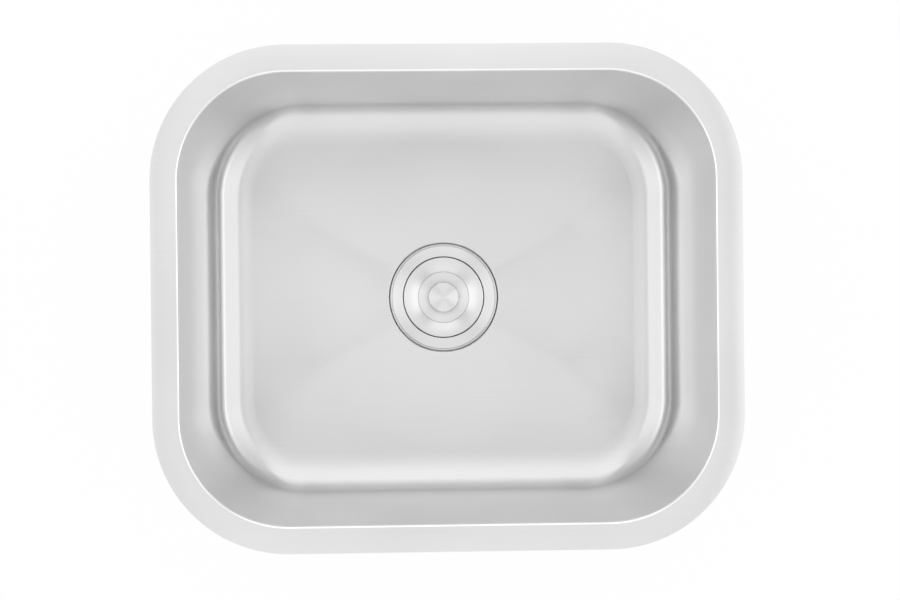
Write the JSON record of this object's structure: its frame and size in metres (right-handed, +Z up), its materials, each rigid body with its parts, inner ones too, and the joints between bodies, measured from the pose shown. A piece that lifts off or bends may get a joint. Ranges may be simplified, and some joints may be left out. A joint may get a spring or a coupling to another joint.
{
  "type": "undermount kitchen sink",
  "caption": "Single-bowl undermount kitchen sink of brushed steel sheet, with a basket strainer, a lift-off lid with a knob and a drain outlet.",
  "frame": {"origin": "centre of the bowl's opening, in the plane of the flange's top face", "axes": "+X along the long side, +Y towards the back, +Z up out of the bowl"},
  "size_m": [0.5334, 0.4572, 0.4145],
  "materials": {
    "bowl_steel": "brushed along X, satin",
    "drain_steel": "turned, circular brushing",
    "basket_steel": "satin",
    "pad_rubber": "matt",
    "seal_rubber": "matt",
    "fibre": "matt fibre board",
    "nylon": "translucent white",
    "nut_brass": "cast, satin",
    "chrome": "polished plating"
  },
  "bodies": {
    "sink": {"sink_bowl": "bowl_steel", "pad_wall_right": "pad_rubber", "pad_wall_left": "pad_rubber", "pad_wall_back": "pad_rubber", "pad_wall_front": "pad_rubber", "pad_floor_right": "pad_rubber", "pad_floor_left": "pad_rubber", "strainer_body": "drain_steel", "flange_seal": "seal_rubber", "deck_gasket": "seal_rubber", "friction_washer": "fibre", "lock_nut": "nut_brass", "tailpiece_washer": "nylon", "coupling_nut": "chrome", "tailpiece": "chrome"},
    "basket": {"basket_cup": "basket_steel", "basket_handle": "basket_steel"},
    "lid": {"lid_disc": "drain_steel", "lid_seal": "seal_rubber", "lid_knob": "drain_steel", "knob_washer": "basket_steel", "knob_screw": "basket_steel"}
  },
  "joints": [
    {"name": "basket_lift", "type": "slide", "parent": "sink", "child": "basket", "axis": [0, 0, 1], "range_m": [0, 0.3]},
    {"name": "lid_lift", "type": "slide", "parent": "basket", "child": "lid", "axis": [0, 0, 1], "range_m": [0, 0.27]}
  ]
}
